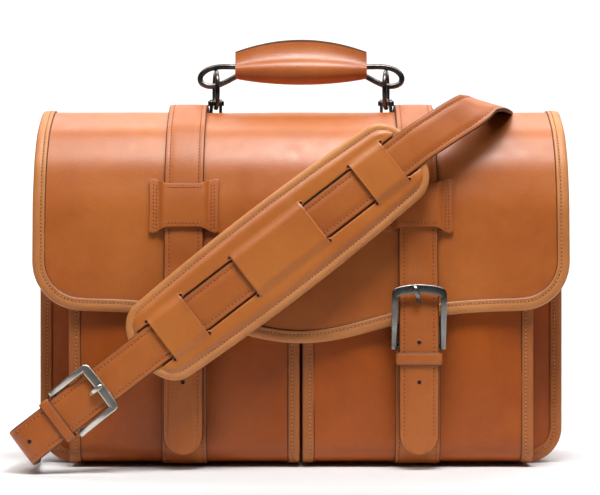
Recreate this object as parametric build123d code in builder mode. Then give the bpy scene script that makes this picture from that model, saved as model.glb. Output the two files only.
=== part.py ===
"""Leather flap-over briefcase, 436 mm wide, with two front pockets, two buckled closure
straps, a steel-ended carrying handle and a padded shoulder strap laid across its front.

Millimetres. X to the right, -Y to the front, +Z up. The origin is the middle of the base,
on the surface that the bag stands on."""
from build123d import *
from math import cos, sin, radians
import os

os.makedirs("parts", exist_ok=True)

# ---- driving dimensions -------------------------------------------------------------
width = 436                # over the front and back panels
back_face = 80             # outer face of the back binding
front_face = -32           # outer face of the main front panel
leather = 3                # panel leather
binding_t = 1.5            # binding tape on a panel
binding_w = 10
gusset_x = 211             # outer face of the side gusset
back_top = 283
front_top = 270
corner_r = 30

pocket_face = -68.5        # outer face of the pocket fronts
pocket_top = 176
pocket_floor = 4
pocket_roll = 16           # radius where the pocket front turns under
pocket_in = 1.2            # gap half-width between the two pockets
pocket_out = 189
pocket_wall = 2.5

flap_t = 4
flap_rear = 78
flap_corner = 40
flap_side_z = 128.5        # height of the flap's edge near its lower corners
flap_lobe_z = 102          # lowest point of the flap's middle

strap_x = 95               # centre of each closure strap
strap_w = 32
strap_t = 3
tail_tip_z = 12.6
tail_rear = -83            # rear face of the hanging strap tail
backing_w = 37
backing_t = 2

heel_y = -78.5             # buckle heel bar
heel_z = 100
buckle_w = 44.4
bar_r = 1.7
running = 0.08             # radial clearance of a bar in its knuckle

handle_x = 72.5            # ring planes, left and right
pin_z = 302.7              # bracket pin that each handle ring swings on
pin_r = 1.8
ring_wire_r = 1.7
ring_arc = 13
grip_wire_r = 2
pivot_z = 333.4            # upper strand of the handle wire, resting on the rings
grip_half = 56

sling_angle = 37.6         # slope of the shoulder strap across the front
sling_t = 3
sling_lean = 0.1           # how far it leans back for each millimetre of height
sling_mid = (-30.1, -99, 167.45)
pad_mid = 15               # pad centre, measured along the strap from sling_mid
pad_half_length = 140
pad_half_width = 36
pad_bulge = 39.5
bands = [(-116.5, -83.8), (-33.6, 36.8), (86.1, 117.1)]

SIDES = {"l": -1, "r": 1}


def finish(builder, name):
    """Label one sub-part and write its file."""
    builder.part.label = name
    export_step(builder.part, f"parts/{name}.step")


def plate(outline, rear, depth):
    """A flat piece parallel to the front, from an outline in X and Z, running back from rear."""
    with BuildPart() as piece:
        with BuildSketch(Plane.XZ.offset(-rear)):
            with BuildLine():
                Polyline(*outline, close=True)
            make_face()
        extrude(amount=depth)
    return piece


# ---- main body ----------------------------------------------------------------------
def body_outline(half, low, top, radius):
    """Front view of a panel: square top and rounded lower corners."""
    with BuildSketch() as outline:
        with BuildLine():
            FilletPolyline((-half, top), (-half, low), (half, low), (half, top), radius=radius)
            Line((half, top), (-half, top))
        make_face()
    return outline.sketch


def panel_outline(inset, top):
    """Outline of the front and back panels, drawn in by inset."""
    return body_outline(width / 2 - inset, inset, top, corner_r - inset)


def gusset_outline(inset, top):
    """Outline of the gusset strip, drawn in by inset."""
    return body_outline(gusset_x - inset, inset, top, corner_r - 5 - inset)


back_outer = back_face - binding_t
with BuildPart() as back_panel:
    with BuildSketch(Plane.XZ.offset(-back_outer)):
        add(panel_outline(0, back_top))
    extrude(amount=leather)
finish(back_panel, "back_panel")

with BuildPart() as front_panel:
    with BuildSketch(Plane.XZ.offset(-front_face - leather)):
        add(panel_outline(0, front_top))
    extrude(amount=leather)
finish(front_panel, "front_panel")


def panel_binding(rear, top):
    """The tape that binds a panel's sides and bottom, lifted a hair off the ground."""
    with BuildPart() as tape:
        with BuildSketch(Plane.XZ.offset(-rear)):
            add(panel_outline(0.4, top))
            add(panel_outline(binding_w, top + 1), mode=Mode.SUBTRACT)
        extrude(amount=binding_t)
    return tape


back_binding = panel_binding(back_face, back_top)
finish(back_binding, "back_binding")
front_binding = panel_binding(front_face, front_top)
finish(front_binding, "front_binding")


gusset_top = front_top + 2
gusset_rear = back_outer - leather
with BuildPart() as gusset:
    with BuildSketch(Plane.XZ.offset(-gusset_rear)):
        add(gusset_outline(0, gusset_top))
        add(gusset_outline(leather, gusset_top + 1), mode=Mode.SUBTRACT)
    extrude(amount=gusset_rear - front_face - leather)
finish(gusset, "gusset")

divider_y = 34
divider_t = 2
with BuildPart() as divider:
    with BuildSketch(Plane.XZ.offset(-divider_y)):
        add(gusset_outline(leather, 258))
    extrude(amount=divider_t)
finish(divider, "divider")


# ---- front pockets --------------------------------------------------------------------
def pocket_section(grow, top):
    """Side view of a pocket, grown outwards by grow at its front and bottom."""
    face = pocket_face - grow
    floor = pocket_floor - grow
    rear = front_face - binding_t
    with BuildSketch() as section:
        with BuildLine():
            FilletPolyline((rear, floor), (face, floor), (face, top), radius=pocket_roll + grow)
            Polyline((face, top), (rear, top), (rear, floor))
        make_face()
    return section.sketch


def pocket_skin(x_from, x_to, inner, outer, top):
    """A skin that follows the pocket's front and turns under it, between two offsets."""
    with BuildPart() as skin:
        with BuildSketch(Plane.YZ.offset(x_from)):
            add(pocket_section(outer, top))
            add(pocket_section(inner, top + 1), mode=Mode.SUBTRACT)
        extrude(amount=x_to - x_from)
    return skin


pocket_tape = 1
for side, sign in SIDES.items():
    x_low, x_high = sorted((sign * pocket_in, sign * pocket_out))
    front = pocket_skin(x_low, x_high, -pocket_wall, 0, pocket_top)
    finish(front, f"pocket_front_{side}")

    with BuildPart() as walls:
        for x_wall in (x_low, x_high - pocket_wall):
            with BuildSketch(Plane.YZ.offset(x_wall)):
                add(pocket_section(-pocket_wall, pocket_top - 2))
            extrude(amount=pocket_wall)
    finish(walls, f"pocket_gusset_{side}")

    left_tape = pocket_skin(x_low, x_low + 9, 0, pocket_tape, pocket_top)
    right_tape = pocket_skin(x_high - 9, x_high, 0, pocket_tape, pocket_top)
    with BuildPart() as tapes:
        add(left_tape.part)
        add(right_tape.part)
    finish(tapes, f"pocket_binding_{side}")

    middle = sign * strap_x
    backing = pocket_skin(middle - backing_w / 2, middle + backing_w / 2, 0, backing_t, 116)
    finish(backing, f"backing_strap_{side}")

snap_z = 82
backing_face = pocket_face - backing_t
with BuildPart() as snap_sockets:
    with BuildSketch(Plane.XZ.offset(-backing_face)):
        with Locations((-strap_x, snap_z), (strap_x, snap_z)):
            Circle(8)
            Circle(2.6, mode=Mode.SUBTRACT)
    extrude(amount=1)
finish(snap_sockets, "snap_sockets")

# ---- flap -----------------------------------------------------------------------------
flap_path = [(95, 287.7), (-13.5, 296), (-47, 275.5), (-64, 250), (-72.4, 216), (-78, 105)]
flap_radii = [45, 45, 60, 100]
strap_path = flap_path[:5] + [(-75, 165), (tail_rear, 122), (tail_rear, -40)]
strap_radii = flap_radii + [60, 60]


def filled_under(path, radii, grow):
    """The region below and behind a side profile, grown by an offset."""
    with BuildSketch() as region:
        with BuildLine():
            FilletPolyline(*path, radius=radii)
            Polyline(path[-1], (path[-1][0], -60), (path[0][0], -60), path[0])
        make_face()
        if grow:
            offset(amount=grow, kind=Kind.INTERSECTION)
    return region.sketch


def profile_band(path, radii, inner, outer, x_from, x_to, rear, low):
    """A sheet that follows a side profile, between two offsets, in front of rear, above low."""
    with BuildPart() as sheet:
        with BuildSketch(Plane.YZ.offset(x_from)):
            add(filled_under(path, radii, outer))
            add(filled_under(path, radii, inner), mode=Mode.SUBTRACT)
            with Locations((rear - 200, low + 200)):
                Rectangle(400, 400, mode=Mode.INTERSECT)
        extrude(amount=x_to - x_from)
    return sheet


def flap_outline(inset):
    """Front view of the flap: straight sides, round corners and a shallow middle lobe."""
    half = width / 2 - inset
    edge = flap_side_z + inset
    radius = flap_corner - inset
    knee = half - radius
    with BuildSketch() as outline:
        with BuildLine():
            Line((half, 400), (half, edge + radius))
            RadiusArc((half, edge + radius), (knee, edge), radius)
            Spline(
                (knee, edge), (121, edge - 2), (69, edge - 14), (0, flap_lobe_z + inset),
                (-69, edge - 14), (-121, edge - 2), (-knee, edge), tangents=[(-1, 0), (-1, 0)],
            )
            RadiusArc((-knee, edge), (-half, edge + radius), radius)
            Polyline((-half, edge + radius), (-half, 400), (half, 400))
        make_face()
    return outline.sketch


flap_sheet = profile_band(
    flap_path, flap_radii, -flap_t, 0, -width / 2, width / 2, flap_rear, 90
)
with BuildPart() as flap_panel:
    add(flap_sheet.part)
    with BuildSketch(Plane.XZ.offset(-120)):
        add(flap_outline(binding_w))
    extrude(amount=260, mode=Mode.INTERSECT)
finish(flap_panel, "flap_panel")

binding_sheet = profile_band(
    flap_path, flap_radii, -flap_t - 0.6, 0.8, -width / 2, width / 2, flap_rear, 90
)
with BuildPart() as flap_binding:
    add(binding_sheet.part)
    with BuildSketch(Plane.XZ.offset(-120)):
        add(flap_outline(0))
        add(flap_outline(binding_w), mode=Mode.SUBTRACT)
    extrude(amount=260, mode=Mode.INTERSECT)
finish(flap_binding, "flap_binding")


# ---- closure straps, the keepers sewn over them, their chapes and loops -----------------
slot_low = 14              # prong slot, measured up from the heel bar
slot_high = 36
hole_steps = (3, -29)      # spare holes, measured up from the heel bar
keeper_low = 191
keeper_high = 235
keeper_half = 28.5
for side, sign in SIDES.items():
    middle = sign * strap_x
    edge_low = middle - strap_w / 2
    edge_high = middle + strap_w / 2
    ribbon = profile_band(
        strap_path, strap_radii, 0, strap_t, edge_low, edge_high, flap_rear - 6, tail_tip_z
    )
    with BuildPart() as strap:
        add(ribbon.part)
        with BuildSketch(Plane.XZ.offset(-120)):
            with Locations((middle, tail_tip_z + 160)):
                RectangleRounded(strap_w, 320, strap_w / 2 - 0.5)
        extrude(amount=260, mode=Mode.INTERSECT)
        with BuildSketch(Plane.XZ.offset(-tail_rear - 6)):
            with Locations((middle, heel_z + (slot_low + slot_high) / 2)):
                SlotOverall(slot_high - slot_low, 4, rotation=90)
            with Locations(*[(middle, heel_z + step) for step in hole_steps]):
                Circle(1.8)
        extrude(amount=14, mode=Mode.SUBTRACT)
    finish(strap, f"closure_strap_{side}")

    keeper_skin = profile_band(
        flap_path, flap_radii, 0, strap_t + 2.7, middle - keeper_half, middle + keeper_half, 0, 180
    )
    tunnel = profile_band(
        flap_path, flap_radii, -1, strap_t + 0.2, edge_low - 0.2, edge_high + 0.2, 0, 170
    )
    waist = 5              # how far the middle of the top and bottom edges dips in
    with BuildPart() as keeper:
        add(keeper_skin.part)
        with BuildSketch(Plane.XZ.offset(20)):
            with BuildLine():
                left = middle - keeper_half
                right = middle + keeper_half
                Line((left, keeper_low), (left, keeper_high))
                Spline(
                    (left, keeper_high), (left + 9, keeper_high), (middle, keeper_high - waist),
                    (right - 9, keeper_high), (right, keeper_high),
                )
                Line((right, keeper_high), (right, keeper_low))
                Spline(
                    (right, keeper_low), (right - 9, keeper_low), (middle, keeper_low + waist),
                    (left + 9, keeper_low), (left, keeper_low),
                )
            make_face()
        extrude(amount=90, mode=Mode.INTERSECT)
        add(tunnel.part, mode=Mode.SUBTRACT)
    finish(keeper, f"flap_keeper_{side}")


# ---- buckles -----------------------------------------------------------------------------
# Local frame: origin on the heel bar, x along the bar, y towards the end bar, z outwards.
strap_back = 4.5           # rear face of the strap that crosses the buckle
strap_front = strap_back + strap_t
end_bar_back = strap_front + 1.2
end_bar_front = end_bar_back + 3
end_bar_h = 7.5
side_bar_w = 5
knuckle_r = 3


def buckle_frame(base, reach, arch):
    """Open frame: heel bar, two side bars that step forward, and an end bar over the strap."""
    half = buckle_w / 2
    inner = half - side_bar_w
    side_plane = Plane(origin=base.origin, x_dir=base.y_dir, z_dir=base.x_dir)
    with BuildPart() as frame:
        for start in (-half, inner):
            with BuildSketch(side_plane.offset(start)):
                with BuildLine():
                    Polyline(
                        (-3.2, -2.4), (-3.2, 2.6), (reach - 14, end_bar_front),
                        (reach - arch, end_bar_front), (reach - arch, end_bar_back - 1.6),
                        (reach - 8, end_bar_back - 2.2), (2.6, -2.4), close=True,
                    )
                make_face()
            extrude(amount=side_bar_w)
        with BuildSketch(base.offset(end_bar_back)):
            with BuildLine():
                Polyline((half, reach - arch), (half, reach - arch - end_bar_h))
                ThreePointArc(
                    (half, reach - arch - end_bar_h), (0, reach - end_bar_h),
                    (-half, reach - arch - end_bar_h),
                )
                Polyline((-half, reach - arch - end_bar_h), (-half, reach - arch))
                ThreePointArc((-half, reach - arch), (0, reach), (half, reach - arch))
            make_face()
        extrude(amount=end_bar_front - end_bar_back)
        with BuildSketch(side_plane.offset(-inner - 1)):
            Circle(bar_r)
        extrude(amount=2 * inner + 2)
    return frame


def buckle_prong(base, reach):
    """Prong: a knuckle on the heel bar, a shank behind the strap and a tip on the end bar."""
    thick = 1.3
    bend = reach - 28
    rise = reach - 11
    tip_z = end_bar_front + 0.3 + thick
    side_plane = Plane(origin=base.origin, x_dir=base.y_dir, z_dir=base.x_dir)
    with BuildPart() as prong:
        with BuildSketch(side_plane.offset(-1.6)):
            with BuildLine():
                Polyline(
                    (0, -thick), (bend + 1, 2.4 - thick), (rise + 1, tip_z - thick),
                    (reach - 1.5, tip_z - thick), (reach - 1.5, tip_z + 0.6), (rise - 1, tip_z + thick),
                    (bend - 1, 2.4 + thick), (0, thick), close=True,
                )
            make_face()
            Circle(knuckle_r)
            Circle(bar_r + running, mode=Mode.SUBTRACT)
        extrude(amount=3.2)
    return prong


def buckle_chape(base, length, rear, front, loop_r):
    """Leather strip folded round the heel bar, slotted for the prong."""
    side_plane = Plane(origin=base.origin, x_dir=base.y_dir, z_dir=base.x_dir)
    half = 14
    with BuildPart() as chape:
        with BuildSketch(side_plane.offset(-half)):
            Circle(loop_r)
            with Locations((-length / 2, (rear + front) / 2)):
                Rectangle(length, front - rear)
            Circle(bar_r + running, mode=Mode.SUBTRACT)
        extrude(amount=2 * half)
        with BuildSketch(base.offset(-6)):
            with Locations((0, 2)):
                Rectangle(4.4, 14)
        extrude(amount=12, mode=Mode.SUBTRACT)
    return chape


def strap_loop(base, near, far, back, inside):
    """Closed leather loop round the strap, between two distances below the heel bar."""
    front = strap_front + 2.1
    ceiling = strap_front + 0.3
    end_plane = Plane(origin=base.origin, x_dir=base.x_dir, z_dir=-base.y_dir)
    with BuildPart() as loop:
        with BuildSketch(end_plane.offset(near)):
            with Locations((0, (back + front) / 2)):
                RectangleRounded(37.2, front - back, 1.5)
            with Locations((0, (inside + ceiling) / 2)):
                Rectangle(32.6, ceiling - inside, mode=Mode.SUBTRACT)
        extrude(amount=far - near)
    return loop


for side, sign in SIDES.items():
    base = Plane(origin=(sign * strap_x, heel_y, heel_z), x_dir=(1, 0, 0), z_dir=(0, -1, 0))
    reach = 50
    finish(buckle_frame(base, reach, 3), f"buckle_frame_{side}")
    finish(buckle_prong(base, reach), f"buckle_prong_{side}")
    finish(buckle_chape(base, 36, -4.2, -2.4, 3.6), f"buckle_chape_{side}")
    finish(strap_loop(base, 5, 15.5, -2.4, strap_back - 0.2), f"keeper_loop_{side}")

stud_back = heel_y + 4.2
with BuildPart() as snap_studs:
    with BuildSketch(Plane.XZ.offset(-stud_back - 1)):
        with Locations((-strap_x, snap_z), (strap_x, snap_z)):
            Circle(7)
    extrude(amount=1)
finish(snap_studs, "snap_studs")

# ---- handle --------------------------------------------------------------------------------
lug_gap = 2.6
lug_t = 2.8
for side, sign in SIDES.items():
    ring_plane = Plane.YZ.offset(sign * handle_x)
    with BuildPart() as bracket:
        for start in (-lug_gap - lug_t, lug_gap):
            with BuildSketch(ring_plane.offset(start)):
                with Locations((0, pin_z)):
                    Circle(3.2)
                with Locations((0, (pin_z + 293) / 2)):
                    Rectangle(6.4, pin_z - 293)
            extrude(amount=lug_t)
        with BuildSketch(ring_plane.offset(-lug_gap - 1)):
            with Locations((0, pin_z)):
                Circle(pin_r)
        extrude(amount=2 * lug_gap + 2)
    finish(bracket, f"handle_bracket_{side}")

    ring_low = pin_z - pin_r - ring_wire_r - 0.25
    ring_high = pivot_z - grip_wire_r - ring_wire_r - 0.25
    with BuildPart() as ring:
        with BuildLine(ring_plane) as oval:
            Polyline((ring_arc, ring_low + ring_arc), (ring_arc, ring_high - ring_arc))
            ThreePointArc(
                (ring_arc, ring_high - ring_arc), (0, ring_high), (-ring_arc, ring_high - ring_arc)
            )
            Polyline((-ring_arc, ring_high - ring_arc), (-ring_arc, ring_low + ring_arc))
            ThreePointArc(
                (-ring_arc, ring_low + ring_arc), (0, ring_low), (ring_arc, ring_low + ring_arc)
            )
        with BuildSketch(Plane(oval.line @ 0, z_dir=oval.line % 0)):
            Circle(ring_wire_r)
        sweep(path=oval.line)
    finish(ring, f"handle_ring_{side}")

grip_z = 330
core_half = 46
core_end_r = 4.5
core_mid_r = 9.5
with BuildPart() as handle_core:
    with BuildSketch(Plane.XZ):
        with BuildLine():
            ThreePointArc(
                (-core_half, grip_z + core_end_r), (0, grip_z + core_mid_r),
                (core_half, grip_z + core_end_r),
            )
            Polyline(
                (core_half, grip_z + core_end_r), (core_half, grip_z), (-core_half, grip_z),
                (-core_half, grip_z + core_end_r),
            )
        make_face()
    revolve(axis=Axis((0, 0, grip_z), (1, 0, 0)))
finish(handle_core, "handle_core")

wire_start = core_half + 2
wire_end = 86.3
with BuildPart() as handle_wire:
    for sign in SIDES.values():
        with BuildLine(Plane.XZ) as teardrop:
            FilletPolyline(
                (sign * wire_start, pivot_z), (sign * wire_end, pivot_z + 0.6),
                (sign * wire_end, 316.2), (sign * 72, 317.2), (sign * wire_start, 327.6),
                radius=[8, 7.5, 10],
            )
        with BuildSketch(Plane(teardrop.line @ 0, z_dir=teardrop.line % 0)):
            Circle(grip_wire_r)
        sweep(path=teardrop.line)
finish(handle_wire, "handle_wire")

with BuildPart() as handle_grip:
    with BuildSketch(Plane.XZ):
        with BuildLine():
            ThreePointArc((-grip_half, grip_z + 6.5), (0, grip_z + 11.5), (grip_half, grip_z + 6.5))
            Polyline(
                (grip_half, grip_z + 6.5), (grip_half, grip_z), (-grip_half, grip_z),
                (-grip_half, grip_z + 6.5),
            )
        make_face()
    revolve(axis=Axis((0, 0, grip_z), (1, 0, 0)))
    with BuildSketch(Plane.XZ.offset(-2.6)):
        with BuildLine():
            ThreePointArc((-grip_half, 346.6), (0, 357), (grip_half, 346.6))
            Polyline((grip_half, 346.6), (grip_half, grip_z), (-grip_half, grip_z), (-grip_half, 346.6))
        make_face()
    extrude(amount=5.2)
    add(handle_core.part, mode=Mode.SUBTRACT)
    add(handle_wire.part, mode=Mode.SUBTRACT)
finish(handle_grip, "handle_grip")

# ---- shoulder strap ---------------------------------------------------------------------------
rise = sin(radians(sling_angle))
sling_out = (0, -1, sling_lean)
sling = Plane(
    origin=sling_mid, x_dir=(cos(radians(sling_angle)), sling_lean * rise, rise), z_dir=sling_out
)
fold_s = -238.9
top_z = 304
corner_z = 293
low_z = -20
sling_centre_y = sling_mid[1] - sling_t / 2
sling_path = [
    (sling_centre_y + sling_lean * (low_z - sling_mid[2]), low_z),
    (sling_centre_y + sling_lean * (corner_z - sling_mid[2]), corner_z),
    (-45, top_z),
    (81, top_z - 1),
]
crossing_y = -46
sling_heel_s = -195.3
with BuildPart() as sling_profile:
    with BuildSketch(Plane.YZ.offset(-260)):
        with BuildLine() as sling_line:
            FilletPolyline(*sling_path, radius=[24, 60])
        trace(sling_line.line, sling_t)
    extrude(amount=520)

with BuildPart() as shoulder_strap_front:
    add(sling_profile.part)
    with BuildSketch(Plane.XZ.offset(-crossing_y)):
        with BuildLine():
            half = strap_w / 2
            corners = [(fold_s, -half), (260, -half), (260, half), (fold_s, half)]
            world = [sling.from_local_coords(Vector(*corner, 0)) for corner in corners]
            Polyline(*[(point.X, point.Z) for point in world], close=True)
        make_face()
    extrude(amount=80, mode=Mode.INTERSECT)

with BuildPart() as strap_over_top:
    add(sling_profile.part)
    with BuildSketch(Plane.XY.offset(top_z - 12)):
        with BuildLine():
            Polyline((121, crossing_y), (173, crossing_y), (185, 77), (151, 77), close=True)
        make_face()
    extrude(amount=24, mode=Mode.INTERSECT)

hole_s = (-205, -232)
with BuildPart() as shoulder_strap_front_whole:
    add(shoulder_strap_front.part)
    add(strap_over_top.part)
    with BuildSketch(sling.offset(-4)):
        with Locations((sling_heel_s + 15, 0)):
            SlotOverall(20, 4)
        with Locations(*[(place, 0) for place in hole_s]):
            Circle(1.8)
    extrude(amount=12, mode=Mode.SUBTRACT)
finish(shoulder_strap_front_whole, "shoulder_strap_front")

sling_base = Plane(
    origin=sling.from_local_coords(Vector(sling_heel_s, 0, -strap_back)),
    x_dir=-sling.y_dir, z_dir=sling_out,
)
sling_reach = 37
finish(buckle_frame(sling_base, sling_reach, 0.6), "strap_buckle_frame")
finish(buckle_prong(sling_base, sling_reach), "strap_buckle_prong")
finish(buckle_chape(sling_base, 42, 0.4, 3.4, 3.6), "strap_buckle_chape")
finish(strap_loop(sling_base, 5, 14, -1.6, 0.2), "strap_keeper_loop")

# ---- shoulder pad, free to slide along the strap ------------------------------------------------
pad = Plane(
    origin=sling.from_local_coords(Vector(pad_mid, 0, 0)), x_dir=sling.x_dir, z_dir=sling_out
)
pad_t = 3.2
pad_gap = 0.35


def pad_outline(inset):
    """Long pad with softly bowed sides and round ends."""
    long = pad_half_length - inset
    half = pad_half_width - inset
    bulge = pad_bulge - inset
    shoulder = long - 26
    with BuildSketch() as outline:
        with BuildLine():
            ThreePointArc((-shoulder, half), (0, bulge), (shoulder, half))
            Spline((shoulder, half), (long, 0), (shoulder, -half), tangents=[(1, -0.09), (-1, -0.09)])
            ThreePointArc((shoulder, -half), (0, -bulge), (-shoulder, -half))
            Spline((-shoulder, -half), (-long, 0), (-shoulder, half), tangents=[(-1, 0.09), (1, 0.09)])
        make_face()
    return outline.sketch


with BuildPart() as pad_base:
    with BuildSketch(pad.offset(-pad_gap - pad_t)):
        add(pad_outline(5))
    extrude(amount=pad_t)
finish(pad_base, "pad_base")

with BuildPart() as pad_binding:
    with BuildSketch(pad.offset(-pad_gap - pad_t - 1)):
        add(pad_outline(0))
        add(pad_outline(5), mode=Mode.SUBTRACT)
    extrude(amount=pad_t + 1)
finish(pad_binding, "pad_binding")

band_half = 24
with BuildPart() as pad_bands:
    for band_from, band_to in bands:
        with BuildSketch(pad.offset(-pad_gap)):
            with Locations(((band_from + band_to) / 2, 0)):
                Rectangle(band_to - band_from, 2 * band_half)
        extrude(amount=pad_gap + sling_t + 0.35 + 2)
    with BuildSketch(pad.offset(-pad_gap)):
        Rectangle(400, strap_w + 1)
    extrude(amount=pad_gap + sling_t + 0.35, mode=Mode.SUBTRACT)
finish(pad_bands, "pad_bands")

# ---- side tabs, their rings and the two ends of the shoulder strap --------------------------------
ring_out = 9               # ring plane, outwards from the gusset
tab_reach = 24             # from the rivet to the ring's near bar
ring_span = 20
ring_half = 18
side_wire = 2
slack = 2                  # room round the ring's far bar inside the strap's end loop
tab_places = {"l": (20, 236, (0, -1)), "r": (8, 222, (1, 0))}
run_lengths = {"l": 80, "r": 79.5}
side_strap = {}
for side, sign in SIDES.items():
    rivet_y, rivet_z, (dir_y, dir_z) = tab_places[side]
    face = Plane(
        origin=(sign * gusset_x, rivet_y, rivet_z), x_dir=(0, dir_y, dir_z), z_dir=(sign, 0, 0)
    )
    across = Plane(origin=face.origin, x_dir=face.x_dir, z_dir=-face.y_dir)
    with BuildPart() as tab:
        with BuildSketch(across.offset(-12)):
            with Locations((4, 3)):
                Rectangle(34, 6)
            with Locations((18, 5)):
                Rectangle(8, 8)
            with Locations((tab_reach, ring_out)):
                Circle(4.2)
                Circle(side_wire + running, mode=Mode.SUBTRACT)
        extrude(amount=24)
        with BuildSketch(face):
            Circle(3.05)
        extrude(amount=12, mode=Mode.SUBTRACT)
    finish(tab, f"side_tab_{side}")

    with BuildPart() as side_ring:
        ring_face = face.offset(ring_out)
        far = tab_reach + ring_span
        with BuildLine(ring_face) as loop_line:
            for way in (1, -1):
                FilletPolyline(
                    (tab_reach, 0), (tab_reach, way * ring_half), (far, way * ring_half), (far, 0),
                    radius=5,
                )
        with BuildSketch(Plane(origin=ring_face.from_local_coords(Vector(tab_reach, 0, 0)),
                               z_dir=ring_face.y_dir)):
            Circle(side_wire)
        sweep(path=loop_line.wires()[0])
    finish(side_ring, f"side_ring_{side}")

    with BuildPart() as end_run:
        with BuildSketch(across.offset(-15.5)):
            with Locations((far, ring_out)):
                Circle(side_wire + slack + 2.4)
            with Locations(((far + run_lengths[side]) / 2, ring_out)):
                Rectangle(run_lengths[side] - far, sling_t)
            with Locations((far, ring_out)):
                Circle(side_wire + slack, mode=Mode.SUBTRACT)
        extrude(amount=31)
    side_strap[side] = end_run

run_plane = Plane.YZ.offset(-gusset_x - ring_out - sling_t / 2)
with BuildPart() as shoulder_strap_side:
    add(side_strap["l"].part)
    with BuildSketch(run_plane):
        with BuildLine() as run_line:
            FilletPolyline((20, 157), (20, 100), (-18, 27), (-104, 22), radius=[60, 40])
        trace(run_line.line, 31)
    extrude(amount=sling_t)
finish(shoulder_strap_side, "shoulder_strap_side")

back_plate = plate([(153, 272), (187, 272), (221.5, 238), (221.5, 206.5)], 87.5, 3)
with BuildPart() as shoulder_strap_rear:
    add(side_strap["r"].part)
    add(back_plate.part)
finish(shoulder_strap_rear, "shoulder_strap_rear")

with BuildPart() as tab_rivets:
    for side, sign in SIDES.items():
        rivet_y, rivet_z, direction = tab_places[side]
        rivet_plane = Plane(
            origin=(sign * gusset_x, rivet_y, rivet_z), x_dir=(0, 1, 0), z_dir=(sign, 0, 0)
        )
        with BuildSketch(rivet_plane.offset(-leather - 1)):
            Circle(3)
        extrude(amount=leather + 7.2)
        with BuildSketch(rivet_plane.offset(6)):
            Circle(5)
        extrude(amount=1.6)
        with BuildSketch(rivet_plane.offset(-leather - 1.4)):
            Circle(5)
        extrude(amount=1.4)
finish(tab_rivets, "tab_rivets")
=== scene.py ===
"""Looks of the leather briefcase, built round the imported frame.

Helpers work in millimetres in the CAD frame and write metres. Local frames are (point, across,
out) triples: across runs over a strip's width and out is the way its good side faces."""
from math import acos, asin, copysign, cos, exp, pi, radians, sin, sqrt, tan

import bpy
from mathutils import Matrix, Vector


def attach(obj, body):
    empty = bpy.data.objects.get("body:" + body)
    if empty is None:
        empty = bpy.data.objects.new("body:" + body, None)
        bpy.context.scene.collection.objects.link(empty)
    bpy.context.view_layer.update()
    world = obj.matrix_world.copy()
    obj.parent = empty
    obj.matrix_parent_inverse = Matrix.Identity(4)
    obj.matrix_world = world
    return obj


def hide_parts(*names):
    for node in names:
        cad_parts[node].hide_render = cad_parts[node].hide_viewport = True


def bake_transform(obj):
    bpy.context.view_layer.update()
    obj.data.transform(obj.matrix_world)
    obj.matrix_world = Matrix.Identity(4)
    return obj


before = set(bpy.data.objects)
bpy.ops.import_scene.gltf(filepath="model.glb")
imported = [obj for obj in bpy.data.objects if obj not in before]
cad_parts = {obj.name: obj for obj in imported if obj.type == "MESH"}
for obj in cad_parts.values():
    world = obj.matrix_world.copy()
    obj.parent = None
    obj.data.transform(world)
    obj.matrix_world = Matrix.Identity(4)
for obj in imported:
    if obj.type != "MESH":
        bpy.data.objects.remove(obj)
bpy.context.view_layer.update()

MM = 0.001
X = Vector((1, 0, 0))
Y = Vector((0, 1, 0))
Z = Vector((0, 0, 1))

# ---- sizes shared with the CAD, in millimetres ------------------------------------------
HALF_WIDTH = 218
BACK_Y = 80
FRONT_Y = -32
POCKET_Y = -68.5
POCKET_TOP = 176
POCKET_IN = 1.2
POCKET_OUT = 189
POCKET_ROLL = 16
GUSSET_X = 211
CORNER_R = 30
FLAP_EDGE = 128.5
FLAP_LOBE = 26.5
FLAP_CORNER = 40
FLAP_THICK = 4
STRAP_X = 95
STRAP_HALF = 16
STRAP_THICK = 3
STITCH_IN = 4.2
TAIL_Y = -83
TAIL_TIP = 12.6
HEEL = Vector((0, -78.5, 100))
PANEL_LOOKS = ("panel", "flesh", "burnished")
SIDES = {"l": -1, "r": 1}
LONG = {"l": "left", "r": "right"}


# ---- small geometry helpers -------------------------------------------------------------
def filleted(corners, radii, step=2.0):
    """A flat polyline with its inner corners rounded by tangent arcs, as 2-D points."""
    points = [Vector(corners[0])]
    for before, corner, after, radius in zip(corners, corners[1:], corners[2:], radii):
        a = (Vector(before) - Vector(corner)).normalized()
        b = (Vector(after) - Vector(corner)).normalized()
        half = acos(max(-1, min(1, a.dot(b)))) / 2
        centre = Vector(corner) + (a + b).normalized() * (radius / sin(half))
        start = Vector(corner) + a * (radius / tan(half)) - centre
        end = Vector(corner) + b * (radius / tan(half)) - centre
        turn = start.angle_signed(end)
        count = max(3, int(abs(turn) * radius / step))
        for k in range(count + 1):
            spin = Matrix.Rotation(-turn * k / count, 2)
            points.append(centre + spin @ start)
    points.append(Vector(corners[-1]))
    return points


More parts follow.
